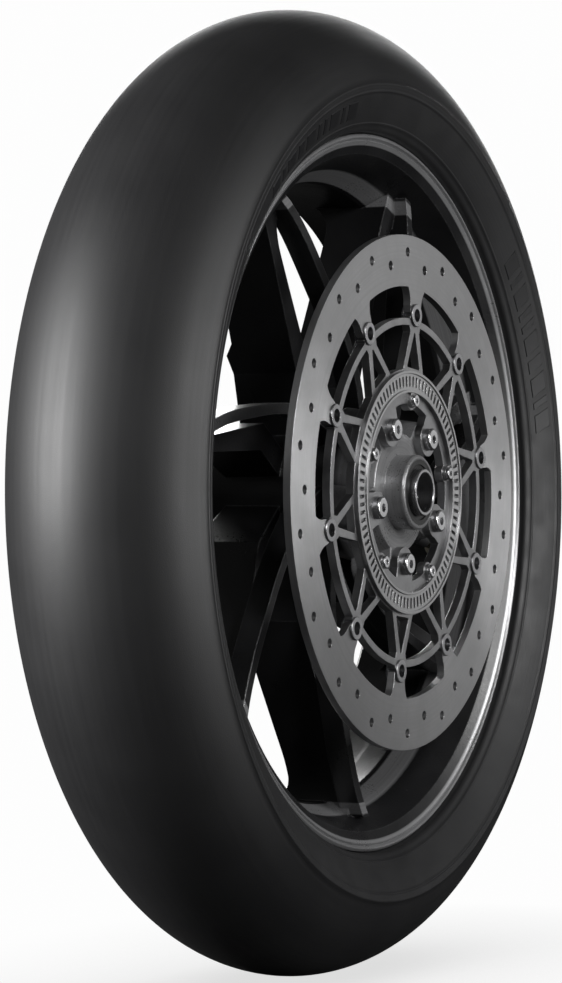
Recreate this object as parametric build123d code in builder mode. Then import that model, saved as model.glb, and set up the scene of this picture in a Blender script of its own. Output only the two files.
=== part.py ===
"""Motorcycle front wheel: slick tyre, cast alloy wheel, floating brake disc, bearings and valve.

The origin is the wheel's centre.  The axle runs along Y, +Z is up, and the brake disc is on
the -Y side.  Sizes are in millimetres.  "Outboard" distances are measured towards the disc,
so an outboard distance of 70 lies at Y = -70.  Angles run from the top (+Z) towards -X.
"""
import os
from math import asin, cos, degrees, radians, sin

from build123d import *

os.makedirs("parts", exist_ok=True)

# ---------------------------------------------------------------- driving dimensions
TYRE_R = 311.5              # outer radius of a 120/80-17 slick
CROWN_R = 70.1              # radius of the tread's round section
TREAD_EDGE_R = 262.0        # wheel radius where the tread ends
CARCASS = 9.5               # thickness under the crown

BEAD_R = 218.3              # bead seat of a 17 inch rim
FLANGE_IN = 44.45           # half of the 3.5 inch rim width
LIP_R = 230.0               # top of the rim flange
LIP_OUT = 50.2              # half of the rim's overall width
WELL_R = 200.0              # inner radius of the drop centre
WALL = 5.0                  # thickness of the rim's well

SPOKES = 7
FOOT_ANGLE = 30.4           # first spoke's foot on the rim
ARM_FRONT = 24.3            # outboard faces of a deep arm at the rim
ARM_BACK = -15.3
ARM_W = 8.0                 # width at the rim; the arms widen towards the hub
ARM_FRONT_TAPER = 0.157     # both faces run towards the far side on the way to the hub
ARM_BACK_TAPER = 0.188
ARM_SWEEP = (0.244, 0.166)  # sideways run of an arm's two edges per unit of radius
BRACE_FRONT = 35.0          # outboard face of the slim braces
BRACE_DEPTH = 15.0
BRACE_W = 8.0

DISC_R = 165.0              # 330 mm floating brake disc
DISC_IN_R = 132.0
DISC_OUT = 71.5             # outboard face of the disc
DISC_T = 5.0
DRILL_R = 3.0
DRILLS_PER_ROW = 18
DRILL_ROWS = ((154.2, -0.8), (146.0, -10.8))
BOBBINS = 10
BOBBIN_PCR = 114.5
BOBBIN_R = 5.5
BOBBIN_PHASE = -6.5
RUN = 0.05                  # radial running clearance

CARRIER_BACK = 66.25
CARRIER_FRONT = 71.7
RING_R = 78.0               # speed-sensor ring
RING_IN_R = 64.0
RING_T = 1.8
RING_SLOTS = 90
RING_SCREW_R = 59.0
DISC_BOLTS = 5
BOLT_PCR = 46.0
BOLT_PHASE = 30.0
M8_R = 4.0
M5_R = 2.5

AXLE_R = 12.5
BEARING_R = 21.0            # 25 x 42 x 9 mm bearings
BEARING_W = 9.0
PITCH_R = 16.75
BALL_R = 2.38
BALLS = 13
BARREL_R = 24.0
HUB_OUT = 80.0              # hub end on the disc side
HUB_FAR = -62.0             # hub end on the far side
COLLAR_R = 15.0
COLLAR_OUT = 84.0           # end faces that meet the fork
COLLAR_FAR = -70.0
SEAL_W = 6.0
SEAL_INSET = 0.2

VALVE_ANGLE = -100.6        # between two spokes
VALVE_R = 4.0
WEIGHT_ANGLE = -67.5


# ---------------------------------------------------------------- helpers
def outboard(distance):
    """Plane square to the axle at an outboard distance, its normal towards the disc side."""
    return Plane.XZ.offset(distance)


def at(radius, angle):
    """Point of an outboard plane at a radius, its angle taken from the top towards -X."""
    return (-radius * sin(radians(angle)), radius * cos(radians(angle)))


def spun(count, radius=0.0, phase=0.0):
    """Places on a circle of an outboard plane, each with its own +Y pointing outwards."""
    angles = [phase + index * 360 / count for index in range(count)]
    return [Location((*at(radius, angle), 0), angle) for angle in angles]


def valve_plane(radius):
    """Plane square to the tyre valve at a wheel radius, its normal towards the hub."""
    across, up = at(1, VALVE_ANGLE)
    return Plane(origin=(radius * across, 0, radius * up), x_dir=(0, 1, 0), z_dir=(-across, 0, -up))


def save(piece, name):
    """Label a finished part and write its STEP file."""
    piece.part.label = name
    export_step(piece.part, f"parts/{name}.step")


# ---------------------------------------------------------------- tyre
crown_centre = TYRE_R - CROWN_R
edge_half = (CROWN_R**2 - (TREAD_EDGE_R - crown_centre) ** 2) ** 0.5
liner_r = CROWN_R - CARCASS
liner_edge = radians(73.5)
liner_edge_r = crown_centre + liner_r * cos(liner_edge)
liner_edge_half = liner_r * sin(liner_edge)
bead_clear = 0.15           # the bead stands this far off the rim, so neither cuts the other

with BuildPart() as tyre:
    with BuildSketch(Plane.XY):
        with BuildLine():
            ThreePointArc((TREAD_EDGE_R, -edge_half), (TYRE_R, 0), (TREAD_EDGE_R, edge_half))
            for side in (1, -1):
                step_low = (TREAD_EDGE_R - 3.0, side * (edge_half + 0.6))
                heel = (LIP_R + 2.6, side * (LIP_OUT + 3.6))
                bead_top = (LIP_R + 4.0, side * 40.0)
                liner_end = (liner_edge_r, side * liner_edge_half)
                Polyline(
                    (TREAD_EDGE_R, side * edge_half),
                    (TREAD_EDGE_R - 1.0, side * (edge_half + 1.0)),
                    step_low,
                )
                Spline(step_low, (248.0, side * 62.9), heel)
                Polyline(
                    heel,
                    (LIP_R + 1.2, side * (LIP_OUT + 1.6)),
                    (LIP_R + 0.9, side * (FLANGE_IN + 1.0)),
                    (LIP_R - 1.0, side * (FLANGE_IN - bead_clear)),
                    (BEAD_R + 1.2, side * (FLANGE_IN - bead_clear)),
                    (BEAD_R + bead_clear, side * (FLANGE_IN - 1.4)),
                    (BEAD_R - 0.8, side * 33.0),
                    (BEAD_R + 3.0, side * 31.6),
                    bead_top,
                )
                Spline(bead_top, (247.0, side * 54.5), liner_end)
            ThreePointArc(
                (liner_edge_r, liner_edge_half),
                (crown_centre + liner_r, 0),
                (liner_edge_r, -liner_edge_half),
            )
        make_face()
    revolve(axis=Axis.Y)
save(tyre, "tyre")

# ---------------------------------------------------------------- alloy wheel
rim_inside = {
    "disc": ((WELL_R + 1.2, 11.0), (WELL_R + 8.0, 23.0), (WELL_R + 17.5, 44.6)),
    "far": ((WELL_R + 0.3, 11.0), (WELL_R + 2.0, 44.0), (WELL_R + 6.0, 47.5)),
}
rim_outside = (
    (LIP_R - 4.6, LIP_OUT - 1.0),
    (LIP_R - 3.8, LIP_OUT - 2.4),
    (LIP_R - 2.6, LIP_OUT - 0.2),
    (LIP_R - 1.6, LIP_OUT),
    (LIP_R, LIP_OUT - 1.5),
    (LIP_R, FLANGE_IN + 1.5),
    (LIP_R - 1.5, FLANGE_IN),
    (BEAD_R + 1.0, FLANGE_IN),
    (BEAD_R, FLANGE_IN - 1.0),
    (BEAD_R - 1.3, 32.6),
    (BEAD_R, 30.6),
    (BEAD_R - 1.4, 27.5),
)
hub_outline = (
    (BARREL_R, -HUB_FAR),
    (BARREL_R + 9, 60.0),
    (38.0, 54.0),
    (40.0, 44.0),
    (41.0, -22.0),
    (46.0, -40.0),
    (42.0, -56.0),
    (38.0, -CARRIER_BACK),
    (BARREL_R, -CARRIER_BACK),
    (BARREL_R, 1.2 - HUB_OUT),
    (BARREL_R - 1.2, -HUB_OUT),
    (AXLE_R + 5, -HUB_OUT),
    (AXLE_R + 5, -HUB_FAR),
)
lobe_r = 11.0
lobe_depth = 26.0
foot_reach = (13.0, -7.0)   # sideways reach of a foot's two edges on the rim
arm_hip = 80.0              # below this radius an arm narrows into the hub
hip_ends = (20.0, 2.0)
gusset_start = 105.0        # below this radius the far face runs out to the hub's far end
gusset_end = (72.0, -58.0)
foot_front = 26.0           # outboard faces of a foot where it meets the rim
foot_back = -26.0
foot_start = 184.0          # where the faces start to flare
arm_root = 30.0
waist_r = 168.0             # where an arm starts to widen into its foot
rim_reach = 214.0
brace_path = (
    (210, 28.9), (178, 23.6), (148, 18.8), (120, 12.6), (95, 5.5), (72, -3.0), (38, -14.0),
)


def brace_edge(offset):
    """Points along one edge of a brace, offset sideways from its middle."""
    return [at(r, a - FOOT_ANGLE + degrees(asin(offset / r))) for r, a in brace_path]


def arm_face(rim_face, taper, radius):
    """Outboard distance of one of the arm's tapered faces at a radius."""
    return rim_face - taper * (WELL_R - radius)


with BuildSketch() as arm_shape:
    with BuildLine():
        for side, sweep, toe, hip_end in zip((1, -1), ARM_SWEEP, foot_reach, hip_ends):
            knee = (side * ARM_W / 2 + sweep * (WELL_R - waist_r), waist_r)
            hip = (side * ARM_W / 2 + sweep * (WELL_R - arm_hip), arm_hip)
            Polyline((sum(hip_ends) / 2, arm_root), (hip_end, arm_root), hip, knee)
            TangentArc(knee, (toe, WELL_R), tangent=(-sweep, 1))
            Polyline((toe, WELL_R), (toe, rim_reach), (0, rim_reach))
    make_face()

with BuildPart() as arms:
    with BuildSketch(outboard(-60)):
        with Locations(*spun(SPOKES, phase=FOOT_ANGLE)):
            add(arm_shape.sketch)
    extrude(amount=100)
    with BuildSketch(Plane.XY):
        with BuildLine():
            for rim_face, taper, foot_face in (
                (ARM_FRONT, ARM_FRONT_TAPER, foot_front),
                (ARM_BACK, ARM_BACK_TAPER, foot_back),
            ):
                bend = (gusset_start, -arm_face(rim_face, taper, gusset_start))
                ankle = (foot_start, -arm_face(rim_face, taper, foot_start))
                Line(bend, ankle)
                TangentArc(ankle, (WELL_R + 1, -foot_face), tangent=(1, -taper))
                Line((WELL_R + 1, -foot_face), (rim_reach, -foot_face))
            root_front = (arm_root, -arm_face(ARM_FRONT, ARM_FRONT_TAPER, arm_root))
            Line((gusset_start, -arm_face(ARM_FRONT, ARM_FRONT_TAPER, gusset_start)), root_front)
            Polyline(
                (gusset_start, -arm_face(ARM_BACK, ARM_BACK_TAPER, gusset_start)),
                (gusset_end[0], -gusset_end[1]),
                (arm_root, -gusset_end[1]),
                root_front,
            )
            Line((rim_reach, -foot_front), (rim_reach, -foot_back))
        make_face()
    revolve(axis=Axis.Y, mode=Mode.INTERSECT)

with BuildSketch() as brace_shape:
    with BuildLine():
        left = brace_edge(BRACE_W / 2)
        right = brace_edge(-BRACE_W / 2)
        Spline(*left)
        Spline(*right)
        Line(left[0], right[0])
        Line(left[-1], right[-1])
    make_face()

with BuildPart() as spokes:
    add(arms.part)
    with BuildSketch(outboard(BRACE_FRONT - BRACE_DEPTH)):
        with Locations(*spun(SPOKES, phase=FOOT_ANGLE)):
            add(brace_shape.sketch)
    extrude(amount=BRACE_DEPTH)
    with BuildSketch(Plane.XY):
        with BuildLine():
            Polyline(
                (arm_root, -60),
                (arm_root, 40),
                (WELL_R + 15, 40),
                (WELL_R + 10, 23),
                (WELL_R + 3, 11),
                (WELL_R + 3, -11),
                (WELL_R + 10, -23),
                (WELL_R + 19, -44),
                (WELL_R + 19, -60),
                close=True,
            )
        make_face()
    revolve(axis=Axis.Y, mode=Mode.INTERSECT)

with BuildPart() as wheel:
    with BuildSketch(Plane.XY):
        with BuildLine():
            Line((WELL_R, -8), (WELL_R, 8))
            Line((WELL_R + WALL, -11), (WELL_R + WALL, 11))
            for side, side_name in ((1, "far"), (-1, "disc")):
                half = [(radius, side * y) for radius, y in rim_inside[side_name] + rim_outside]
                Polyline((WELL_R, side * 8), *half, (WELL_R + WALL, side * 11))
        make_face()
    revolve(axis=Axis.Y)
    with BuildSketch(Plane.XY):
        with BuildLine():
            Polyline(*hub_outline, close=True)
        make_face()
    revolve(axis=Axis.Y)
    add(spokes.part)
    with BuildSketch(outboard(CARRIER_BACK)):
        with Locations(*spun(DISC_BOLTS, BOLT_PCR, BOLT_PHASE)):
            Circle(lobe_r)
            with Locations((0, -lobe_r)):
                Rectangle(2 * lobe_r, 2 * lobe_r)
    extrude(amount=-lobe_depth, taper=-8)
    with BuildSketch(outboard(CARRIER_BACK)):
        with Locations(*spun(DISC_BOLTS, BOLT_PCR, BOLT_PHASE)):
            Circle(M8_R - 0.6)
    extrude(amount=-20, mode=Mode.SUBTRACT)
    with BuildSketch(outboard(HUB_OUT)):
        Circle(BEARING_R)
    extrude(amount=-(SEAL_INSET + SEAL_W + 0.8 + BEARING_W), mode=Mode.SUBTRACT)
    with BuildSketch(outboard(HUB_FAR)):
        Circle(BEARING_R)
    extrude(amount=SEAL_INSET + SEAL_W + 0.8 + BEARING_W, mode=Mode.SUBTRACT)

    with BuildSketch(valve_plane(WELL_R + WALL + 5)):
        Circle(VALVE_R + 0.15)
    extrude(amount=WALL + 10, mode=Mode.SUBTRACT)
save(wheel, "wheel")

# ---------------------------------------------------------------- brake disc
tab_tip = BOBBIN_PCR + 1.0
tab_root = DISC_IN_R + 3
lug_tip = BOBBIN_PCR - 1.0
screw_phase = BOLT_PHASE + 36
carrier_ring = (57.0, 79.0)
bar_ring = (107.3, 111.8)

with BuildSketch() as tab_shape:
    with BuildLine():
        for side in (1, -1):
            corner = (side * 7.0, tab_tip)
            neck = (side * 8.0, tab_tip + 5)
            root = (side * 17.0, tab_root)
            Polyline((0, tab_tip), corner, neck)
            TangentArc(neck, root, tangent=(0, 1))
            Line(root, (0, tab_root))
    make_face()

with BuildSketch() as lug_shape:
    with BuildLine():
        Polyline(
            (-15.5, carrier_ring[1] - 3), (-6.5, 103), (-8.0, 108), (-7.5, lug_tip),
            (7.5, lug_tip), (8.0, 108), (6.5, 103), (15.5, carrier_ring[1] - 3),
            close=True,
        )
    make_face()

with BuildSketch() as arm_slot:
    with BuildLine():
        Polyline((-9.6, carrier_ring[1] + 1), (0, 105), (9.6, carrier_ring[1] + 1), close=True)
    make_face()
    fillet(arm_slot.vertices(), 1.0)

with BuildPart() as brake_disc:
    with BuildSketch(outboard(DISC_OUT - DISC_T)):
        Circle(DISC_R)
        Circle(DISC_IN_R, mode=Mode.SUBTRACT)
        with Locations(*spun(BOBBINS, 0, BOBBIN_PHASE)):
            add(tab_shape.sketch)
        with Locations(*spun(BOBBINS, BOBBIN_PCR, BOBBIN_PHASE)):
            Circle(BOBBIN_R + RUN, mode=Mode.SUBTRACT)
        for row_r, phase in DRILL_ROWS:
            with Locations(*spun(DRILLS_PER_ROW, row_r, phase)):
                Circle(DRILL_R, mode=Mode.SUBTRACT)
    extrude(amount=DISC_T)
save(brake_disc, "brake_disc")

with BuildSketch() as carrier_bars:
    Circle(bar_ring[1])
    Circle(bar_ring[0], mode=Mode.SUBTRACT)

with BuildPart() as disc_carrier:
    with BuildSketch(outboard(CARRIER_BACK)):
        Circle(carrier_ring[1])
        Circle(carrier_ring[0], mode=Mode.SUBTRACT)
        add(carrier_bars.sketch)
        with Locations(*spun(BOBBINS, 0, BOBBIN_PHASE)):
            add(lug_shape.sketch)
            add(arm_slot.sketch, mode=Mode.SUBTRACT)
        with Locations(*spun(BOBBINS, BOBBIN_PCR, BOBBIN_PHASE)):
            Circle(BOBBIN_R + RUN, mode=Mode.SUBTRACT)
        with Locations(*spun(DISC_BOLTS, BOLT_PCR, BOLT_PHASE)):
            Circle(lobe_r)
            with Locations((0, lobe_r)):
                Trapezoid(2 * lobe_r + 6, 2 * lobe_r, 80, rotation=180)
            Circle(M8_R + 0.2, mode=Mode.SUBTRACT)
        with Locations(*spun(DISC_BOLTS, RING_SCREW_R, screw_phase)):
            Circle(6.0)
            Circle(M5_R + 0.02, mode=Mode.SUBTRACT)
    extrude(amount=CARRIER_FRONT - CARRIER_BACK)
save(disc_carrier, "disc_carrier")

# ---------------------------------------------------------------- disc buttons and fasteners
button_flange_r = 7.4
button_hole_r = 4.2
washer_in_r = BOBBIN_R + RUN
button_face = CARRIER_FRONT + RUN
button_places = spun(BOBBINS, BOBBIN_PCR, BOBBIN_PHASE)
washer_back = CARRIER_BACK - RUN
washer_t = 0.6
clip_t = 0.8
clip_back = washer_back - washer_t - clip_t

with BuildPart() as disc_bobbins:
    with BuildSketch(outboard(clip_back - 0.4)):
        with Locations(*button_places):
            Circle(BOBBIN_R)
    extrude(amount=button_face - clip_back + 0.4)
    with BuildSketch(outboard(button_face)):
        with Locations(*button_places):
            Circle(button_flange_r)
    extrude(amount=1.2)
    chamfer(disc_bobbins.faces().sort_by(Axis.Y)[:BOBBINS].edges(), 0.4)
    with BuildSketch(outboard(button_face + 1.2)):
        with Locations(*button_places):
            Circle(button_hole_r)
    extrude(amount=-12, mode=Mode.SUBTRACT)
save(disc_bobbins, "disc_bobbins")


def ring_set(places, outer, inner, back, thickness):
    """Flat rings of one size at several places; returns the builder that holds them."""
    with BuildPart() as rings:
        with BuildSketch(outboard(back)):
            with Locations(*places):
                Circle(outer)
                Circle(inner, mode=Mode.SUBTRACT)
        extrude(amount=thickness)
    return rings


bobbin_washers = ring_set(button_places, 7.4, washer_in_r, washer_back - washer_t, washer_t)
save(bobbin_washers, "bobbin_washers")
bobbin_clips = ring_set(button_places, 7.0, washer_in_r, clip_back + 0.02, clip_t - 0.04)
save(bobbin_clips, "bobbin_clips")

bolt_places = spun(DISC_BOLTS, BOLT_PCR, BOLT_PHASE)
with BuildPart() as disc_bolts:
    with BuildSketch(outboard(CARRIER_BACK - 16)):
        with Locations(*bolt_places):
            Circle(M8_R - 0.65)
    extrude(amount=CARRIER_FRONT - CARRIER_BACK + 16)
    with BuildSketch(outboard(CARRIER_FRONT)):
        with Locations(*bolt_places):
            Circle(7.2)
    extrude(amount=4.4)
    fillet(disc_bolts.faces().sort_by(Axis.Y)[:DISC_BOLTS].edges(), 1.6)
    with BuildSketch(outboard(CARRIER_FRONT + 4.4)):
        with Locations(*bolt_places):
            RegularPolygon(2.9, 6)
    extrude(amount=-3, mode=Mode.SUBTRACT)
save(disc_bolts, "disc_bolts")

# ---------------------------------------------------------------- speed-sensor ring
ring_back = CARRIER_FRONT
with BuildPart() as sensor_ring:
    with BuildSketch(outboard(ring_back)):
        Circle(RING_R)
        Circle(RING_IN_R, mode=Mode.SUBTRACT)
        with Locations(*spun(DISC_BOLTS, RING_SCREW_R, screw_phase)):
            Circle(4.6)
            with Locations((0, 3)):
                Rectangle(9.2, 6)
            Circle(M5_R + 0.15, mode=Mode.SUBTRACT)
        with Locations(*spun(RING_SLOTS, 71.0)):
            SlotOverall(7.0, 2.3, rotation=90, mode=Mode.SUBTRACT)
    extrude(amount=RING_T)
    for outer, inner in ((RING_R, RING_R - 1.8), (RING_IN_R + 1.6, RING_IN_R)):
        with BuildSketch(outboard(ring_back + RING_T)):
            Circle(outer)
            Circle(inner, mode=Mode.SUBTRACT)
        extrude(amount=0.7)
save(sensor_ring, "sensor_ring")

screw_places = spun(DISC_BOLTS, RING_SCREW_R, screw_phase)
with BuildPart() as ring_screws:
    with BuildSketch(outboard(CARRIER_BACK + 0.3)):
        with Locations(*screw_places):
            Circle(M5_R)
    extrude(amount=ring_back + RING_T - CARRIER_BACK - 0.3)
    with BuildSketch(outboard(ring_back + RING_T)):
        with Locations(*screw_places):
            Circle(4.2)
    extrude(amount=2.2)
    fillet(ring_screws.faces().sort_by(Axis.Y)[:DISC_BOLTS].edges(), 0.9)
    with BuildSketch(outboard(ring_back + RING_T + 2.2)):
        with Locations(*screw_places):
            RegularPolygon(1.8, 6)
    extrude(amount=-1.5, mode=Mode.SUBTRACT)
save(ring_screws, "ring_screws")

# ---------------------------------------------------------------- wheel bearings
race_in_r = 14.9
race_out_r = 18.6
groove_r = BALL_R + RUN
bearing_near = HUB_OUT - SEAL_INSET - SEAL_W - 0.8 - BEARING_W / 2
bearing_far = HUB_FAR + SEAL_INSET + SEAL_W + 0.8 + BEARING_W / 2


def race(outer, inner, middle):
    """One bearing race with its ball groove, centred at an outboard distance."""
    with BuildPart() as ring:
        with BuildSketch(Plane.XY):
            with Locations(((outer + inner) / 2, -middle)):
                Rectangle(outer - inner, BEARING_W)
            with Locations((PITCH_R, -middle)):
                Circle(groove_r, mode=Mode.SUBTRACT)
        revolve(axis=Axis.Y)
    return ring


def ball_set(middle):
    """The balls of one bearing."""
    with BuildPart() as balls:
        for index in range(BALLS):
            x, z = at(PITCH_R, index * 360 / BALLS)
            with Locations((x, -middle, z)):
                Sphere(BALL_R)
    return balls


def ball_cage(middle):
    """The ring that spaces the balls of one bearing."""
    with BuildPart() as cage:
        with BuildSketch(outboard(middle - 3)):
            Circle(PITCH_R + 0.7)
            Circle(PITCH_R - 0.7, mode=Mode.SUBTRACT)
        extrude(amount=6)
        for index in range(BALLS):
            x, z = at(PITCH_R, index * 360 / BALLS)
            with BuildSketch(Plane(origin=(x, -middle, z), z_dir=(x, 0, z))):
                Circle(BALL_R + RUN)
            extrude(amount=2, both=True, mode=Mode.SUBTRACT)
    return cage


for side_name, middle in (("disc_side", bearing_near), ("far_side", bearing_far)):
    save(race(race_in_r, AXLE_R, middle), f"inner_race_{side_name}")
    save(race(BEARING_R, race_out_r, middle), f"outer_race_{side_name}")
    save(ball_set(middle), f"bearing_balls_{side_name}")
    save(ball_cage(middle), f"ball_cage_{side_name}")

# ---------------------------------------------------------------- spacers and seals
tube_r = 15.0


def sleeve(outer, inner, start, end):
    """Plain tube between two outboard distances."""
    with BuildPart() as tube:
        with BuildSketch(outboard(start)):
            Circle(outer)
            Circle(inner, mode=Mode.SUBTRACT)
        extrude(amount=end - start)
    return tube


spacer_tube = sleeve(tube_r, AXLE_R, bearing_far + BEARING_W / 2, bearing_near - BEARING_W / 2)
save(spacer_tube, "spacer_tube")

for side_name, face, end in (
    ("disc_side", bearing_near + BEARING_W / 2, COLLAR_OUT),
    ("far_side", bearing_far - BEARING_W / 2, COLLAR_FAR),
):
    reach = 1 if end > face else -1
    with BuildPart() as collar:
        with BuildSketch(outboard(face)):
            Circle(COLLAR_R - 0.4)
            Circle(AXLE_R, mode=Mode.SUBTRACT)
        extrude(amount=(end - face))
        with BuildSketch(outboard(face + 0.8 * reach)):
            Circle(COLLAR_R)
            Circle(AXLE_R, mode=Mode.SUBTRACT)
        extrude(amount=(end - face) - 0.8 * reach)
        chamfer(collar.edges().filter_by(GeomType.CIRCLE).group_by(Axis.Y)[0 if reach > 0 else -1], 0.5)
    save(collar, f"axle_collar_{side_name}")

for side_name, start, reach in (
    ("disc_side", HUB_OUT - SEAL_INSET, -1),
    ("far_side", HUB_FAR + SEAL_INSET, 1),
):
    with BuildPart() as seal:
        with BuildSketch(Plane.XY):
            with BuildLine():
                Polyline(
                    (BEARING_R - RUN, -start),
                    (BEARING_R - RUN, -start - reach * SEAL_W),
                    (BEARING_R - 3.0, -start - reach * SEAL_W),
                    (BEARING_R - 3.0, -start - reach * 3.0),
                    (COLLAR_R + RUN, -start - reach * 3.4),
                    (COLLAR_R + RUN, -start - reach * 1.4),
                    (BEARING_R - 3.2, -start - reach * 0.9),
                    (BEARING_R - 3.2, -start),
                    close=True,
                )
            make_face()
        revolve(axis=Axis.Y)
    save(seal, f"dust_seal_{side_name}")

# ---------------------------------------------------------------- tyre valve
stem_end_r = 168.0
stem_bore = 1.6
with BuildPart() as valve_stem:
    with BuildSketch(valve_plane(WELL_R + WALL + 4.0)):
        Circle(7.5)
    extrude(amount=1.6)
    with BuildSketch(valve_plane(WELL_R + WALL + 2.4)):
        Circle(VALVE_R)
    extrude(amount=WELL_R + WALL + 2.4 - stem_end_r)
    with BuildSketch(valve_plane(WELL_R + WALL + 4.0)):
        Circle(stem_bore)
    extrude(amount=60, mode=Mode.SUBTRACT)
save(valve_stem, "valve_stem")

with BuildPart() as valve_grommet:
    with BuildSketch(valve_plane(WELL_R + WALL + 2.3)):
        Circle(7.5)
        Circle(VALVE_R + RUN, mode=Mode.SUBTRACT)
    extrude(amount=2.0)
save(valve_grommet, "valve_grommet")

with BuildPart() as valve_nut:
    with BuildSketch(valve_plane(WELL_R - 0.3)):
        Circle(8.0)
        Circle(VALVE_R + RUN, mode=Mode.SUBTRACT)
    extrude(amount=1.0)
    with BuildSketch(valve_plane(WELL_R - 1.3)):
        RegularPolygon(6.9, 6)
        Circle(VALVE_R + RUN, mode=Mode.SUBTRACT)
    extrude(amount=4.5)
save(valve_nut, "valve_nut")

core_pin_r = 0.7
with BuildPart() as valve_core:
    with BuildSketch(valve_plane(stem_end_r + 16)):
        Circle(stem_bore - 0.02)
        Circle(core_pin_r + RUN, mode=Mode.SUBTRACT)
    extrude(amount=15)
save(valve_core, "valve_core")

with BuildPart() as valve_pin:
    with BuildSketch(valve_plane(stem_end_r + 20)):
        Circle(core_pin_r)
    extrude(amount=20)
    with BuildSketch(valve_plane(stem_end_r + 20)):
        Circle(stem_bore - 0.2)
    extrude(amount=1.8)
save(valve_pin, "valve_pin")

cap_end_r = stem_end_r - 3.5
with BuildPart() as valve_cap:
    with BuildSketch(valve_plane(stem_end_r + 11)):
        Circle(VALVE_R + 1.4)
    extrude(amount=stem_end_r + 11 - cap_end_r)
    cap_end = valve_cap.faces().sort_by(Axis((0, 0, 0), valve_plane(1).z_dir))[-1]
    fillet(cap_end.edges(), 1.0)
    with BuildSketch(valve_plane(stem_end_r + 11)):
        Circle(VALVE_R + RUN)
    extrude(amount=12.5, mode=Mode.SUBTRACT)
save(valve_cap, "valve_cap")

# ---------------------------------------------------------------- stick-on balance weights
weight_t = 3.6
weight_span = 5.4
weight_low, weight_high = 26.5, 41.5
(inside_start_r, inside_start), (inside_end_r, inside_end) = rim_inside["far"][:2]
wall_slope = (inside_end_r - inside_start_r) / (inside_end - inside_start)
with BuildPart() as balance_weights:
    for index in range(4):
        start_angle = WEIGHT_ANGLE + index * (weight_span + 0.8)
        with BuildSketch(Plane.XY.rotated((0, start_angle - 90, 0))):
            with BuildLine():
                low_r = inside_start_r + wall_slope * (weight_low - inside_start) - RUN
                high_r = inside_start_r + wall_slope * (weight_high - inside_start) - RUN
                Polyline(
                    (low_r, weight_low),
                    (high_r, weight_high),
                    (high_r - weight_t, weight_high),
                    (low_r - weight_t, weight_low),
                    close=True,
                )
            make_face()
        revolve(axis=Axis.Y, revolution_arc=weight_span)
save(balance_weights, "balance_weights")
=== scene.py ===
from math import atan2, cos, pi, radians, sin, sqrt

import bmesh
import bpy
from mathutils import Matrix, Vector


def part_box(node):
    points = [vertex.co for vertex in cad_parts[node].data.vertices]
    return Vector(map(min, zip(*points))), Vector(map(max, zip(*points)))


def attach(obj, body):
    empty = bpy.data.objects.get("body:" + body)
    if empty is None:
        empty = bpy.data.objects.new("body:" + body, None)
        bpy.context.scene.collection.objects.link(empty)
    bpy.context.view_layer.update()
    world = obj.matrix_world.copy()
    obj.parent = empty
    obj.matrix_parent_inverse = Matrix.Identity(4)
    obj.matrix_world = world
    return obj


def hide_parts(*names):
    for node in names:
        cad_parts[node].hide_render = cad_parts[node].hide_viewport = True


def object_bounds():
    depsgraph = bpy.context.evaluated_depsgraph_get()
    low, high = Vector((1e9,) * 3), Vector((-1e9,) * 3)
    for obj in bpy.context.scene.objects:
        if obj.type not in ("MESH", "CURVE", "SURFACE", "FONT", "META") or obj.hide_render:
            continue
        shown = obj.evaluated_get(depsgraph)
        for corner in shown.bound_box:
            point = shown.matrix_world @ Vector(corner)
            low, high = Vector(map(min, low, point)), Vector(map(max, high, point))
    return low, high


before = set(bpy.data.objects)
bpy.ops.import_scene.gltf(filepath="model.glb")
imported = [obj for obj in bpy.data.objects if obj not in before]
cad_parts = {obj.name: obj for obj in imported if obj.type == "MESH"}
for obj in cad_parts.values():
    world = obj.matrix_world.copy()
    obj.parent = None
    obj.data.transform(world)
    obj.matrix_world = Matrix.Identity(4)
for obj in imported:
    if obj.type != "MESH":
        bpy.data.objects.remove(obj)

# The wheel's hard parts are the frame's own nodes and get their finishes here. The tyre is a mesh of
# this script, with raised marks on its sidewall, and a floor, lights and a camera stand around it.
cad_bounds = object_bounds()
MM = 0.001

# ------------------------------------------------------------------ tyre sizes, in millimetres
TYRE_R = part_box("tyre")[1].x / MM
CROWN_R = 70.1              # radius of the tread's round section
CROWN_CENTRE = TYRE_R - CROWN_R
TREAD_EDGE_R = 262.0        # wheel radius where the tread ends
LIP_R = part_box("wheel")[1].x / MM
LIP_OUT = 50.2              # half of the rim's overall width
FLANGE_IN = 44.45           # half of the 3.5 inch rim width
BEAD_R = 218.3              # bead seat of a 17 inch rim
LINER_R = CROWN_R - 9.5     # inner surface under the crown
LINER_EDGE = radians(73.5)
RIBS = ((256.0, 1.4, 0.35), (236.2, 1.6, 0.5))      # radius, width and height of ribs round the sidewall
RIB_CLEAR = 0.4             # gap between a rib and the next point of the sidewall
TREAD_STEPS = 24            # mesh steps along half of the tread
WALL_STEPS = 22             # along a sidewall
INSIDE_STEPS = 6            # along the inside of a sidewall
LINER_STEPS = 10            # along half of the inside of the tread
TURN_STEPS = 360            # round the tyre


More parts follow.
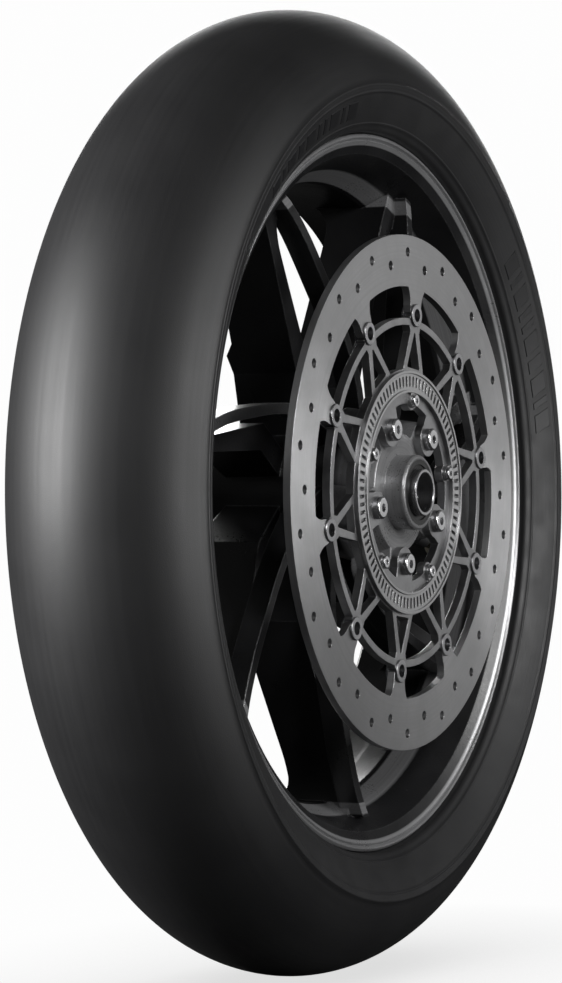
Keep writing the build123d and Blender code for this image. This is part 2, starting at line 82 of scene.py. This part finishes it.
# ------------------------------------------------------------------ material recipes
class Recipe:
    """A node material under construction."""

    def __init__(self, name):
        self.material = bpy.data.materials.new(name)
        self.material.use_nodes = True
        self.tree = self.material.node_tree
        self.shader = self.tree.nodes["Principled BSDF"]
        self.coords = self.node("ShaderNodeTexCoord").outputs["Object"]

    def node(self, kind, **settings):
        made = self.tree.nodes.new(kind)
        for key, value in settings.items():
            setattr(made, key, value)
        return made

    def link(self, source, target):
        """Feed a socket from another socket or from a constant."""
        if isinstance(source, bpy.types.NodeSocket):
            self.tree.links.new(source, target)
        else:
            target.default_value = source

    def math(self, operation, a, b=0.0, clamp=False):
        made = self.node("ShaderNodeMath", operation=operation, use_clamp=clamp)
        self.link(a, made.inputs[0])
        self.link(b, made.inputs[1])
        return made.outputs[0]

    def noise(self, scale, detail=4.0, roughness=0.55, vector=None):
        made = self.node("ShaderNodeTexNoise")
        self.link(vector or self.coords, made.inputs["Vector"])
        made.inputs["Scale"].default_value = scale
        made.inputs["Detail"].default_value = detail
        made.inputs["Roughness"].default_value = roughness
        return made.outputs["Fac"]

    def fit(self, value, low, high, to_low, to_high):
        """Map low..high to to_low..to_high, clamped."""
        made = self.node("ShaderNodeMapRange")
        self.link(value, made.inputs["Value"])
        for key, number in zip(("From Min", "From Max", "To Min", "To Max"), (low, high, to_low, to_high)):
            made.inputs[key].default_value = number
        return made.outputs["Result"]

    def blend(self, share, a, b):
        """Mix two colours, each a socket or an (r, g, b) value."""
        made = self.node("ShaderNodeMix", data_type="RGBA")
        self.link(share, made.inputs["Factor"])
        for key, colour in (("A", a), ("B", b)):
            slot = [s for s in made.inputs if s.name == key and s.type == "RGBA"][0]
            self.link(colour if isinstance(colour, bpy.types.NodeSocket) else (*colour, 1.0), slot)
        return [s for s in made.outputs if s.type == "RGBA"][0]

    def polar(self):
        """Wheel radius, turn angle and place along the axle, in metres and radians."""
        parts = self.node("ShaderNodeSeparateXYZ")
        self.link(self.coords, parts.inputs[0])
        x, y, z = parts.outputs
        squares = self.math("ADD", self.math("MULTIPLY", x, x), self.math("MULTIPLY", z, z))
        return self.math("SQRT", squares), self.math("ARCTAN2", z, x), y

    def vector(self, x, y, z):
        made = self.node("ShaderNodeCombineXYZ")
        for socket, value in zip(made.inputs, (x, y, z)):
            self.link(value, socket)
        return made.outputs[0]

    def rings(self, spacing, stretch=0.6, detail=3.0):
        """Fine lines that run round the axle, spacing apart, broken up along their length."""
        radius, angle, along = self.polar()
        wrapped = self.math("COSINE", angle)
        return self.noise(
            1.0, detail, 0.6,
            self.vector(
                self.math("MULTIPLY", radius, 1 / spacing),
                self.math("MULTIPLY", wrapped, stretch),
                self.math("MULTIPLY", along, 1 / spacing),
            ),
        )

    def bump(self, height, depth, normal=None):
        """Chain a bump of the given depth in metres; returns its normal."""
        made = self.node("ShaderNodeBump")
        made.inputs["Distance"].default_value = depth
        self.link(height, made.inputs["Height"])
        if normal:
            self.link(normal, made.inputs["Normal"])
        return made.outputs["Normal"]

    def rounded(self, radius):
        """Softened edges: the rounded normal, and a mask that is 1 on the edges."""
        soft = self.node("ShaderNodeBevel", samples=4)
        soft.inputs["Radius"].default_value = radius
        flat = self.node("ShaderNodeNewGeometry").outputs["Normal"]
        dot = self.node("ShaderNodeVectorMath", operation="DOT_PRODUCT")
        self.link(soft.outputs[0], dot.inputs[0])
        self.link(flat, dot.inputs[1])
        mask = self.fit(dot.outputs["Value"], 0.995, 0.86, 0.0, 1.0)
        return soft.outputs[0], mask

    def finish(self, **inputs):
        """Set the main shader's inputs by name, with spaces written as underscores."""
        for key, value in inputs.items():
            socket = self.shader.inputs[key.replace("_", " ")]
            if isinstance(value, tuple) and len(value) == 3 and socket.type == "RGBA":
                value = (*value, 1.0)
            self.link(value, socket)
        return self.material


def rubber_tread():
    """Smooth slick rubber: a soft sheen, a fine grain and faint marks round the tyre."""
    r = Recipe("tread_rubber")
    patches = r.noise(9.0, 3.0)
    grain = r.noise(1700.0, 2.0)
    marks = r.rings(0.0035, 1.4)
    colour = r.blend(r.fit(patches, 0.35, 0.7, 0, 1), (0.0075, 0.0075, 0.0082), (0.011, 0.011, 0.0117))
    rough = r.math("ADD", r.fit(patches, 0.3, 0.7, 0.48, 0.56), r.fit(marks, 0.3, 0.7, -0.025, 0.035))
    normal = r.bump(grain, 0.00006, r.bump(marks, 0.00002))
    return r.finish(Base_Color=colour, Roughness=rough, Normal=normal, Specular_IOR_Level=0.6)


def rubber_sidewall():
    """Moulded sidewall rubber: duller than the tread, with fine turned lines from its mould."""
    r = Recipe("sidewall_rubber")
    patches = r.noise(14.0, 4.0)
    grain = r.noise(1400.0, 2.0)
    lines = r.rings(0.0012, 0.5, 1.0)
    colour = r.blend(r.fit(patches, 0.3, 0.7, 0, 1), (0.012, 0.012, 0.0128), (0.018, 0.018, 0.0188))
    rough = r.fit(r.noise(60.0, 4.0), 0.3, 0.7, 0.46, 0.58)
    normal = r.bump(grain, 0.00005, r.bump(lines, 0.00005))
    return r.finish(Base_Color=colour, Roughness=rough, Normal=normal, Specular_IOR_Level=0.5)


def rubber_marks():
    """The smoother rubber of the raised marks, painted darker than the sidewall as painted shade."""
    r = Recipe("mark_rubber")
    grain = r.noise(1500.0, 2.0)
    # Painted shade: the marks' colour is darker than the sidewall rubber's.
    colour = r.blend(r.fit(r.noise(120.0), 0.3, 0.7, 0, 1), (0.007, 0.007, 0.008), (0.011, 0.011, 0.012))
    rough = r.fit(grain, 0.3, 0.7, 0.42, 0.5)
    return r.finish(Base_Color=colour, Roughness=rough, Normal=r.bump(grain, 0.00003))


def cast_paint():
    """Satin black paint over cast alloy, unpainted at the hub's end; the rim's turned lip and the near side
    of its inner edge are painted lighter grey metal as a painted highlight.
    """
    r = Recipe("wheel_paint")
    soft, edges = r.rounded(0.0013)
    radius, _, along = r.polar()
    # Painted highlight: the lip and the near side of the well's inner edge get lighter grey metal where light
    # falls on them.
    lip = r.fit(radius, 0.2225, 0.2240, 0, 1)
    disc_end = r.math("MULTIPLY", r.fit(radius, 0.064, 0.060, 0, 1), r.fit(along, -0.038, -0.044, 0, 1))
    inner_edge = r.math("MULTIPLY", r.fit(radius, 0.2086, 0.2076, 0, 1), r.fit(radius, 0.2000, 0.2008, 0, 1))
    lit_near_edge = r.math("MULTIPLY", inner_edge, r.fit(along, -0.0105, -0.0115, 0, 1))
    # This mask holds the hub's unpainted end and the painted highlight on the lip and the near edge.
    bare_and_lit = r.math("MAXIMUM", r.math("MAXIMUM", lip, disc_end), r.math("MULTIPLY", lit_near_edge, 0.55))
    peel = r.noise(420.0, 2.0)
    cloud = r.noise(22.0, 5.0)
    dust = r.noise(700.0, 3.0)
    black = r.blend(r.fit(cloud, 0.35, 0.7, 0, 1), (0.0045, 0.0045, 0.005), (0.008, 0.008, 0.0085))
    grey = r.blend(r.fit(r.rings(0.0011, 0.4), 0.3, 0.7, 0, 1), (0.24, 0.24, 0.245), (0.34, 0.34, 0.345))
    body = r.blend(bare_and_lit, black, grey)
    rubbed = r.math("MULTIPLY", edges, r.fit(dust, 0.38, 0.62, 0.05, 0.5), clamp=True)
    colour = r.blend(rubbed, body, (0.2, 0.2, 0.205))
    metal = r.math("MAXIMUM", r.math("MULTIPLY", bare_and_lit, 0.7), r.math("MULTIPLY", rubbed, 0.7))
    rough = r.math("ADD", r.fit(cloud, 0.3, 0.7, 0.27, 0.36), r.fit(dust, 0.3, 0.7, -0.03, 0.05))
    normal = r.bump(peel, 0.00008, soft)
    return r.finish(Base_Color=colour, Metallic=metal, Roughness=rough, Normal=normal)


def turned_steel(name, base, rough, spin, score, edge_radius=0.0005, stain=0.12):
    """Steel with fine lines round the axle, a stretched highlight, light stains and bright edges."""
    r = Recipe(name)
    soft, edges = r.rounded(edge_radius)
    lines = r.rings(score, 0.35, 2.0)
    fine = r.rings(score / 3, 0.8, 2.0)
    cloud = r.noise(26.0, 5.0, 0.6)
    dark = tuple(channel * (1 - stain * 1.6) for channel in base)
    light = tuple(channel * (1 + stain) for channel in base)
    swept = r.blend(r.fit(cloud, 0.3, 0.72, 0, 1), dark, light)
    lined = r.blend(r.fit(lines, 0.35, 0.65, 0, 0.35), swept, dark)
    colour = r.blend(r.math("MULTIPLY", edges, 0.55), lined, (0.75, 0.75, 0.76))
    broad = r.fit(cloud, 0.3, 0.7, rough - 0.03, rough + 0.06)
    roughness = r.math("ADD", broad, r.fit(fine, 0.3, 0.7, -0.03, 0.04))
    tangent = r.node("ShaderNodeTangent", direction_type="RADIAL", axis="Y").outputs[0]
    normal = r.bump(lines, 0.00002, r.bump(fine, 0.00001, soft))
    return r.finish(
        Base_Color=colour, Metallic=1.0, Roughness=roughness, Normal=normal,
        Anisotropic=spin, Anisotropic_Rotation=0.25, Tangent=tangent,
    )


def satin_metal(name, base, rough, grain=900.0, stain=0.15, edge_radius=0.0004, edge_light=0.5):
    """Plain machined or plated metal with a fine grain, handling marks and bright edges."""
    r = Recipe(name)
    soft, edges = r.rounded(edge_radius)
    cloud = r.noise(70.0, 5.0, 0.6)
    speck = r.noise(grain, 3.0)
    dark = tuple(channel * (1 - stain * 1.5) for channel in base)
    light = tuple(channel * (1 + stain) for channel in base)
    tint = r.blend(r.fit(cloud, 0.3, 0.7, 0, 1), dark, light)
    worn = r.math("MULTIPLY", edges, r.fit(speck, 0.35, 0.6, 0.3, edge_light + 0.3))
    colour = r.blend(worn, tint, (0.72, 0.72, 0.73))
    broad = r.fit(cloud, 0.3, 0.7, rough - 0.05, rough + 0.07)
    roughness = r.math("ADD", broad, r.fit(speck, 0.3, 0.7, -0.02, 0.03))
    normal = r.bump(speck, 0.00002, soft)
    return r.finish(Base_Color=colour, Metallic=1.0, Roughness=roughness, Normal=normal)


def soft_plastic(name, base, rough):
    """Dull moulded rubber or plastic with a fine grain."""
    r = Recipe(name)
    soft, _ = r.rounded(0.0003)
    grain = r.noise(1600.0, 2.0)
    tint = tuple(channel * 1.7 for channel in base)
    colour = r.blend(r.fit(r.noise(180.0), 0.3, 0.7, 0, 1), base, tint)
    roughness = r.fit(grain, 0.3, 0.7, rough - 0.05, rough + 0.06)
    return r.finish(Base_Color=colour, Roughness=roughness, Normal=r.bump(grain, 0.00004, soft))


# ------------------------------------------------------------------ CAD nodes and their finishes
def dress(material, *nodes):
    """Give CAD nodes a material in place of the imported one."""
    for name in nodes:
        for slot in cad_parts[name].material_slots:
            slot.link = "OBJECT"
            slot.material = material


dress(cast_paint(), "wheel")
dress(turned_steel("disc_steel", (0.46, 0.46, 0.465), 0.36, 0.7, 0.0012), "brake_disc")
dress(turned_steel("ring_steel", (0.52, 0.52, 0.525), 0.30, 0.5, 0.0007), "sensor_ring")
dress(
    turned_steel("collar_alloy", (0.50, 0.50, 0.51), 0.26, 0.5, 0.0005),
    "axle_collar_disc_side", "axle_collar_far_side", "spacer_tube",
)
dress(
    turned_steel("bearing_steel", (0.58, 0.58, 0.59), 0.16, 0.4, 0.0004),
    "inner_race_disc_side", "outer_race_disc_side", "inner_race_far_side", "outer_race_far_side",
)
dress(satin_metal("ball_steel", (0.62, 0.62, 0.63), 0.1), "bearing_balls_disc_side", "bearing_balls_far_side")
dress(satin_metal("carrier_alloy", (0.33, 0.33, 0.335), 0.36, edge_radius=0.0007), "disc_carrier")
dress(satin_metal("bobbin_steel", (0.40, 0.40, 0.41), 0.3), "disc_bobbins")
dress(satin_metal("spring_steel", (0.30, 0.30, 0.32), 0.28), "bobbin_washers", "bobbin_clips")
dress(satin_metal("plated_bolt", (0.62, 0.62, 0.63), 0.2), "disc_bolts", "ring_screws")
dress(satin_metal("cage_brass", (0.55, 0.42, 0.2), 0.3), "ball_cage_disc_side", "ball_cage_far_side")
dress(
    satin_metal("valve_nickel", (0.5, 0.46, 0.38), 0.25),
    "valve_stem", "valve_nut", "valve_core", "valve_pin",
)
dress(satin_metal("weight_zinc", (0.22, 0.22, 0.225), 0.5), "balance_weights")
dress(
    soft_plastic("seal_rubber", (0.012, 0.012, 0.012), 0.5),
    "dust_seal_disc_side", "dust_seal_far_side", "valve_grommet",
)
dress(soft_plastic("cap_plastic", (0.015, 0.015, 0.016), 0.42), "valve_cap")


# ------------------------------------------------------------------ tyre
def parabola(points, r):
    """The y at a radius on the parabola through three (radius, y) points."""
    (r0, y0), (r1, y1), (r2, y2) = points
    a = y0 * (r - r1) * (r - r2) / ((r0 - r1) * (r0 - r2))
    b = y1 * (r - r0) * (r - r2) / ((r1 - r0) * (r1 - r2))
    c = y2 * (r - r0) * (r - r1) / ((r2 - r0) * (r2 - r1))
    return a + b + c


def curve(points, count):
    """Points along that parabola from its first point to its last, evenly spaced in radius."""
    first, last = points[0][0], points[-1][0]
    radii = [first + (last - first) * index / count for index in range(count + 1)]
    return [(r, parabola(points, r)) for r in radii]


EDGE_HALF = sqrt(CROWN_R**2 - (TREAD_EDGE_R - CROWN_CENTRE) ** 2)
SIDEWALL = ((TREAD_EDGE_R - 3.0, EDGE_HALF + 0.6), (248.0, 62.9), (LIP_R + 2.6, LIP_OUT + 3.6))


def sidewall_y(radius):
    """How far out the sidewall stands at a wheel radius."""
    return parabola(SIDEWALL, radius)


RIB_HALF = ((0.5, 0.0), (0.38, 0.55), (0.2, 0.95))      # shares of a rib's width and height
RIB_OUTLINE = (*RIB_HALF, (0.0, 1.0), *((-share, rise) for share, rise in reversed(RIB_HALF)))


def rib(radius, width, height):
    """A small rounded rib round the sidewall, as (radius, y) points from its outer edge inwards."""
    return [
        (radius + width * share, sidewall_y(radius + width * share) + height * rise)
        for share, rise in RIB_OUTLINE
    ]


def half_section():
    """One half of the tyre's section: tread points, then sidewall and bead points."""
    edge_angle = atan2(EDGE_HALF, TREAD_EDGE_R - CROWN_CENTRE)
    tread = [
        (
            CROWN_CENTRE + CROWN_R * cos(edge_angle * i / TREAD_STEPS),
            CROWN_R * sin(edge_angle * i / TREAD_STEPS),
        )
        for i in range(TREAD_STEPS + 1)
    ]
    shoulder = [
        (TREAD_EDGE_R - 0.35, EDGE_HALF + 0.55),
        (TREAD_EDGE_R - 0.8, EDGE_HALF + 0.95),
        (TREAD_EDGE_R - 1.4, EDGE_HALF + 1.05),
        (TREAD_EDGE_R - 2.1, EDGE_HALF + 0.9),
        (TREAD_EDGE_R - 2.6, EDGE_HALF + 0.62),
    ]
    wall = [
        (r, y) for r, y in curve(SIDEWALL, WALL_STEPS)
        if all(abs(r - middle) >= width / 2 + RIB_CLEAR for middle, width, _ in RIBS)
    ]
    for measures in RIBS:
        wall += rib(*measures)
    wall.sort(reverse=True)
    # The bead laps the rim's lip, runs down its flange to the seat, and turns back up inside the tyre.
    inside_foot = (LIP_R + 4.0, 40.0)
    bead = [
        (LIP_R + 2.1, LIP_OUT + 3.0),
        (LIP_R + 1.5, LIP_OUT + 2.2),
        (LIP_R + 1.2, LIP_OUT + 1.3),
        (LIP_R + 0.9, FLANGE_IN + 1.0),
        (LIP_R - 1.0, FLANGE_IN - 0.15),
        (BEAD_R + 1.2, FLANGE_IN - 0.15),
        (BEAD_R + 0.15, FLANGE_IN - 1.4),
        (BEAD_R - 0.8, 33.0),
        (BEAD_R + 3.0, 31.6),
        inside_foot,
    ]
    liner_end = (CROWN_CENTRE + LINER_R * cos(LINER_EDGE), LINER_R * sin(LINER_EDGE))
    inside = curve((inside_foot, (247.0, 54.5), liner_end), INSIDE_STEPS)[1:]
    crown = [
        (
            CROWN_CENTRE + LINER_R * cos(LINER_EDGE * (1 - i / LINER_STEPS)),
            LINER_R * sin(LINER_EDGE * (1 - i / LINER_STEPS)),
        )
        for i in range(1, LINER_STEPS + 1)
    ]
    return tread, shoulder + wall + bead + inside + crown


def revolve(name, section, turns, materials, material_of):
    """A closed ring from a closed (radius, y) section; material_of picks a material by section point."""
    mesh = bpy.data.meshes.new(name)
    shape = bmesh.new()
    rings = []
    for turn in range(turns):
        angle = 2 * pi * turn / turns
        c, s = cos(angle) * MM, sin(angle) * MM
        rings.append([shape.verts.new((r * c, y * MM, r * s)) for r, y in section])
    for turn in range(turns):
        here, after = rings[turn], rings[(turn + 1) % turns]
        for i in range(len(section)):
            j = (i + 1) % len(section)
            face = shape.faces.new((here[i], here[j], after[j], after[i]))
            face.smooth = True
            face.material_index = material_of(i)
    bmesh.ops.recalc_face_normals(shape, faces=shape.faces)
    shape.to_mesh(mesh)
    shape.free()
    made = bpy.data.objects.new(name, mesh)
    bpy.context.scene.collection.objects.link(made)
    for material in materials:
        mesh.materials.append(material)
    return made


tread, rest = half_section()
# The two halves share their points on the middle plane: the crown's first and the liner's last.
section = tread + rest + [(r, -y) for r, y in reversed(tread[1:] + rest[:-1])]
tread_last = len(tread) - 1
tread_first = len(section) - tread_last
tyre = revolve(
    "slick_tyre", section, TURN_STEPS, [rubber_tread(), rubber_sidewall()],
    lambda i: 0 if i < tread_last or i >= tread_first else 1,
)
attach(tyre, "wheel_body")
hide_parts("tyre")


# ------------------------------------------------------------------ raised marks on the sidewall
MARK_INNER_R = 240.5
MARK_OUTER_R = 252.0
MARK_MIDDLE_R = 246.0       # arc lengths are measured here
MARK_HEIGHT = 0.4
MARK_DEPTH = 0.4            # how far a bar's sides go on under the rubber
MARK_BEVEL = 0.45
MARK_SLANT = 4.0            # how far a bar's outer end is shifted along the arc
MARK_GAP = 4.2
MARK_STEP = 2.5             # mesh step along a bar
MARK_WIDTHS = (13, 5, 13, 5, 5, 13, 9, 13, 5, 13)


def wall_point(radius, angle, lift):
    """A point lifted off the disc side's sidewall, its angle taken from the top towards -X."""
    slope = sidewall_y(radius + 0.5) - sidewall_y(radius - 0.5)
    length = sqrt(1 + slope * slope)
    r = radius - lift * slope / length
    y = sidewall_y(radius) + lift / length
    return Vector((-r * sin(angle), -y, r * cos(angle))) * MM


def add_mark(shape, start, end):
    """One raised, slanted bar with bevelled sides, between two arc lengths."""
    steps = max(2, int((end - start) / MARK_STEP))
    loops = []
    for lift, inset in ((-MARK_DEPTH, 0.0), (0.0, 0.0), (MARK_HEIGHT, MARK_BEVEL)):
        low, high = [], []
        for i in range(steps + 1):
            share = i / steps
            s = start + inset + (end - start - 2 * inset) * share
            low.append(wall_point(MARK_INNER_R + inset, s / MARK_MIDDLE_R, lift))
            high.append(wall_point(MARK_OUTER_R - inset, (s + MARK_SLANT) / MARK_MIDDLE_R, lift))
        loops.append([shape.verts.new(p) for p in low + high[::-1]])
    count = len(loops[0])
    for below, above in zip(loops, loops[1:]):
        for i in range(count):
            j = (i + 1) % count
            shape.faces.new((below[i], below[j], above[j], above[i]))
    for loop in (loops[0], loops[-1]):
        half = count // 2
        for i in range(half - 1):
            shape.faces.new((loop[i], loop[i + 1], loop[count - 2 - i], loop[count - 1 - i]))


def mark_row(shape, middle, widths):
    """A row of bars of varied widths, centred on an angle in degrees from the top towards -X."""
    total = sum(widths) + MARK_GAP * (len(widths) - 1)
    s = radians(middle) * MARK_MIDDLE_R - total / 2
    for width in widths:
        add_mark(shape, s, s + width)
        s += width + MARK_GAP


mark_shape = bmesh.new()
mark_row(mark_shape, 27, MARK_WIDTHS)
mark_row(mark_shape, -65, MARK_WIDTHS[::-1])
bmesh.ops.recalc_face_normals(mark_shape, faces=mark_shape.faces)
mark_mesh = bpy.data.meshes.new("sidewall_marks")
mark_shape.to_mesh(mark_mesh)
mark_shape.free()
mark_mesh.materials.append(rubber_marks())
marks = bpy.data.objects.new("sidewall_marks", mark_mesh)
bpy.context.scene.collection.objects.link(marks)
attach(marks, "wheel_body")


# ------------------------------------------------------------------ floor, light and camera
WHITE = 0.985               # the brightest that the floor and the background look
FLOOR_REACH = 30.0
FLOOR_GAP = 0.0002


def floor_material():
    """Pale floor: even and near white to the camera, with a soft shadow where the tyre stands."""
    material = bpy.data.materials.new("pale_floor")
    material.use_nodes = True
    tree = material.node_tree
    tree.nodes.clear()
    output = tree.nodes.new("ShaderNodeOutputMaterial")
    mix = tree.nodes.new("ShaderNodeMixShader")
    bounce = tree.nodes.new("ShaderNodeBsdfDiffuse")
    bounce.inputs["Color"].default_value = (0.35, 0.35, 0.35, 1)
    seen = tree.nodes.new("ShaderNodeEmission")
    shade = tree.nodes.new("ShaderNodeAmbientOcclusion")
    shade.samples = 8
    shade.inputs["Distance"].default_value = 0.22
    tone = tree.nodes.new("ShaderNodeMapRange")
    tone.inputs["From Min"].default_value = 0.25
    tone.inputs["To Min"].default_value = 0.72
    tone.inputs["To Max"].default_value = WHITE
    path = tree.nodes.new("ShaderNodeLightPath")
    tree.links.new(shade.outputs["AO"], tone.inputs["Value"])
    tree.links.new(tone.outputs["Result"], seen.inputs["Color"])
    tree.links.new(path.outputs["Is Camera Ray"], mix.inputs["Fac"])
    tree.links.new(bounce.outputs[0], mix.inputs[1])
    tree.links.new(seen.outputs[0], mix.inputs[2])
    tree.links.new(mix.outputs[0], output.inputs["Surface"])
    return material


floor_mesh = bpy.data.meshes.new("floor")
floor_z = cad_bounds[0][2] - FLOOR_GAP
floor_corners = [
    (x * FLOOR_REACH, y * FLOOR_REACH, floor_z) for x, y in ((-1, -1), (1, -1), (1, 1), (-1, 1))
]
floor_mesh.from_pydata(floor_corners, [], [(0, 1, 2, 3)])
floor_mesh.materials.append(floor_material())
floor = bpy.data.objects.new("floor", floor_mesh)
bpy.context.scene.collection.objects.link(floor)


def studio_world():
    """White to the camera, and a dim grey room with a brighter ceiling to everything else."""
    world = bpy.data.worlds.new("studio")
    world.use_nodes = True
    tree = world.node_tree
    tree.nodes.clear()
    output = tree.nodes.new("ShaderNodeOutputWorld")
    mix = tree.nodes.new("ShaderNodeMixShader")
    room = tree.nodes.new("ShaderNodeBackground")
    white = tree.nodes.new("ShaderNodeBackground")
    white.inputs["Color"].default_value = (WHITE, WHITE, WHITE, 1)
    coords = tree.nodes.new("ShaderNodeTexCoord")
    parts = tree.nodes.new("ShaderNodeSeparateXYZ")
    ramp = tree.nodes.new("ShaderNodeMapRange")
    ramp.inputs["From Min"].default_value = -0.3
    ramp.inputs["From Max"].default_value = 1.0
    ramp.inputs["To Min"].default_value = 0.045
    ramp.inputs["To Max"].default_value = 0.085
    path = tree.nodes.new("ShaderNodeLightPath")
    tree.links.new(coords.outputs["Generated"], parts.inputs[0])
    tree.links.new(parts.outputs["Z"], ramp.inputs["Value"])
    tree.links.new(ramp.outputs["Result"], room.inputs["Color"])
    tree.links.new(path.outputs["Is Camera Ray"], mix.inputs["Fac"])
    tree.links.new(room.outputs[0], mix.inputs[1])
    tree.links.new(white.outputs[0], mix.inputs[2])
    tree.links.new(mix.outputs[0], output.inputs["Surface"])
    return world


bpy.context.scene.world = studio_world()


LIGHT_DISTANCE = 2.6


def softbox(name, direction, width, height, power, lit):
    """A rectangular soft light that faces the wheel's centre and reaches one group of objects."""
    lamp = bpy.data.lights.new(name, "AREA")
    lamp.shape = "RECTANGLE"
    lamp.size = width
    lamp.size_y = height
    lamp.energy = power
    made = bpy.data.objects.new(name, lamp)
    place = Vector(direction).normalized() * LIGHT_DISTANCE
    made.location = place
    made.rotation_euler = (-place).to_track_quat("-Z", "Y").to_euler()
    made.light_linking.receiver_collection = lit
    bpy.context.scene.collection.objects.link(made)


def group(name, members):
    """A collection that is used only to say what a light reaches."""
    made = bpy.data.collections.new(name)
    for member in members:
        made.objects.link(member)
    return made


# The tyre, the painted casting and the bright metal each have lights of their own.
rubber = group("rubber_parts", [tyre, marks])
casting = group("casting", [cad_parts["wheel"]])
metal = group(
    "metal_parts",
    [node for name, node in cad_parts.items() if name not in ("tyre", "wheel")],
)
softbox("tread_light", (-0.76, 0.60, 0.22), 1.2, 1.3, 140, rubber)
softbox("wall_light", (0.05, -1.0, 0.10), 1.6, 1.6, 60, rubber)
softbox("low_light", (-0.80, -0.10, -0.60), 1.8, 1.4, 16, rubber)
softbox("face_light", (0.34, -0.94, 0.03), 0.9, 1.1, 20, metal)
softbox("mirror_light", (0.84, -0.50, 0.06), 1.6, 1.8, 5, metal)
softbox("hub_light", (-0.55, -0.80, 0.45), 0.4, 0.6, 30, metal)
softbox("casting_light", (0.28, -0.95, 0.20), 1.4, 1.4, 52, casting)
softbox("casting_glint", (-0.60, -0.76, 0.45), 0.4, 0.6, 40, casting)
softbox("far_metal_light", (0.62, 0.78, 0.35), 1.4, 1.4, 60, metal)
softbox("far_casting_light", (0.75, 0.66, 0.35), 1.4, 1.4, 45, casting)
softbox("far_rubber_light", (0.98, 0.45, 0.30), 1.4, 1.4, 40, rubber)

CAMERA_TURN = radians(-63.2)    # from the disc's side round towards -X
CAMERA_DISTANCE = 2.4
CAMERA_ROLL = radians(-0.3)
CAMERA_SENSOR = 36.0            # millimetres, as the lens
CAMERA_LENS = 135.4
CAMERA_SHIFT = (-0.0275, 0.0015)
camera_data = bpy.data.cameras.new("camera")
camera_data.sensor_width = CAMERA_SENSOR
camera_data.lens = CAMERA_LENS
camera_data.shift_x, camera_data.shift_y = CAMERA_SHIFT
camera = bpy.data.objects.new("camera", camera_data)
camera.location = (sin(CAMERA_TURN) * CAMERA_DISTANCE, -cos(CAMERA_TURN) * CAMERA_DISTANCE, 0.0)
facing = (-camera.location).to_track_quat("-Z", "Y").to_matrix().to_4x4()
camera.rotation_euler = (facing @ Matrix.Rotation(CAMERA_ROLL, 4, "Z")).to_euler()
bpy.context.scene.collection.objects.link(camera)
bpy.context.scene.camera = camera
bpy.context.scene.view_settings.view_transform = "Standard"
